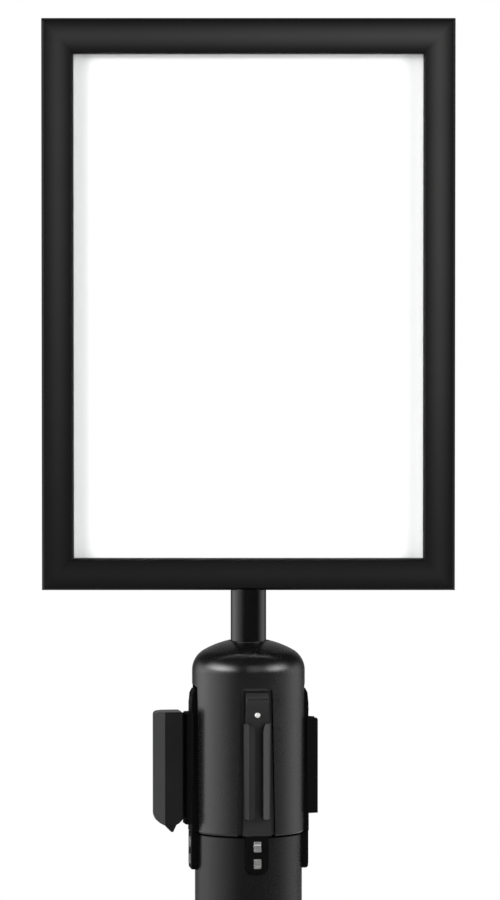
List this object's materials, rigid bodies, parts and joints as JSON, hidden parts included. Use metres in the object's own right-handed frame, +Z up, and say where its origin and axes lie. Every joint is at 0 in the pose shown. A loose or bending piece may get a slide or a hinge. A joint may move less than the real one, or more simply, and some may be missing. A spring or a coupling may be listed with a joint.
{
  "type": "sign frame on a retractable belt barrier post",
  "caption": "Free-standing post on a round weighted base, with a belt head, belt sockets on its sides and a swivelling framed sheet holder on a stem.",
  "frame": {"origin": "on the floor at the centre of the round base, on the axis of the post", "axes": "+Z up along the post, -Y out of the front face of the sign, +X to the right of a reader who faces the sign"},
  "size_m": [0.35, 0.35, 1.3485],
  "materials": {
    "satin_black_paint": "satin powder coat",
    "satin_black_plastic": "satin",
    "black_moulded_plastic": "fine moulded",
    "grey_moulded_plastic": "fine moulded",
    "cast_iron": "rough cast, painted",
    "black_rubber": "matt",
    "zinc_steel": "zinc plated",
    "bright_steel": "nickel plated",
    "spring_steel": "blued",
    "black_webbing": "woven",
    "clear_sheet": "clear",
    "white_paper": "matt",
    "white_board": "matt"
  },
  "bodies": {
    "post": {"base_weight": "cast_iron", "base_cover": "satin_black_paint", "base_ring": "black_rubber", "tie_bolt": "zinc_steel", "tie_washer": "zinc_steel", "tube_plug": "zinc_steel", "post_collar": "black_moulded_plastic", "post_tube": "satin_black_paint", "head_cap": "satin_black_paint", "sign_socket": "black_moulded_plastic", "receiver_front": "black_moulded_plastic", "receiver_right": "black_moulded_plastic", "receiver_back": "black_moulded_plastic", "belt_mouth": "black_moulded_plastic", "cassette_feet": "black_moulded_plastic", "tab_catches": "bright_steel", "cassette_base": "black_moulded_plastic", "cassette_top": "black_moulded_plastic", "cassette_pillars": "zinc_steel", "cassette_screws": "bright_steel", "rib_screws": "bright_steel", "spool_axle": "zinc_steel", "power_spring": "spring_steel", "guide_pins": "zinc_steel", "belt_run": "black_webbing"},
    "spool": {"spool_core": "grey_moulded_plastic", "belt_roll": "black_webbing"},
    "belt_end": {"belt": "black_webbing", "belt_end_shell": "satin_black_plastic", "belt_end_key": "black_moulded_plastic", "belt_end_screws": "bright_steel"},
    "latch": {"latch_tab": "satin_black_plastic"},
    "pin_front": {"lock_pin_front": "bright_steel"},
    "pin_right": {"lock_pin_right": "bright_steel"},
    "pin_back": {"lock_pin_back": "bright_steel"},
    "sign": {"rail_left": "satin_black_paint", "rail_right": "satin_black_paint", "rail_top": "satin_black_paint", "rail_bottom": "satin_black_paint", "corner_keys": "zinc_steel", "key_screws": "bright_steel", "stem": "satin_black_paint", "stem_plug": "zinc_steel", "swivel_screw": "bright_steel", "swivel_washer": "zinc_steel"},
    "insert": {"lens_front": "clear_sheet", "lens_back": "clear_sheet", "sheet_front": "white_paper", "sheet_back": "white_paper", "stiffener": "white_board"}
  },
  "joints": [
    {"name": "sign_swivel", "type": "hinge", "parent": "post", "child": "sign", "pos_m": [0, 0, 1], "axis": [0, 0, 1], "continuous": true},
    {"name": "sheet_slide", "type": "slide", "parent": "sign", "child": "insert", "axis": [0, 0, 1], "range_m": [0, 0.3]},
    {"name": "belt_pull", "type": "slide", "parent": "post", "child": "belt_end", "axis": [-0.9882, -0.153, 0], "range_m": [0, 2], "stiffness_N_per_m": 4, "springref_m": -1},
    {"name": "spool_turn", "type": "hinge", "parent": "post", "child": "spool", "pos_m": [0, 0, 0.93], "axis": [0, 0, 1], "range_deg": [-5, 6900]},
    {"name": "latch_press", "type": "slide", "parent": "belt_end", "child": "latch", "axis": [0, 0, 1], "range_m": [0, 0.003], "stiffness_N_per_m": 600, "springref_m": -0.002},
    {"name": "pin_front_press", "type": "slide", "parent": "post", "child": "pin_front", "axis": [-0.153, 0.9882, 0], "range_m": [0, 0.0012], "stiffness_N_per_m": 500, "springref_m": -0.002},
    {"name": "pin_right_press", "type": "slide", "parent": "post", "child": "pin_right", "axis": [-0.9882, -0.153, 0], "range_m": [0, 0.0012], "stiffness_N_per_m": 500, "springref_m": -0.002},
    {"name": "pin_back_press", "type": "slide", "parent": "post", "child": "pin_back", "axis": [0.153, -0.9882, 0], "range_m": [0, 0.0012], "stiffness_N_per_m": 500, "springref_m": -0.002}
  ],
  "couplings": [
    {"joint": "spool_turn", "follows": "belt_pull", "rad_per_m": 60}
  ]
}
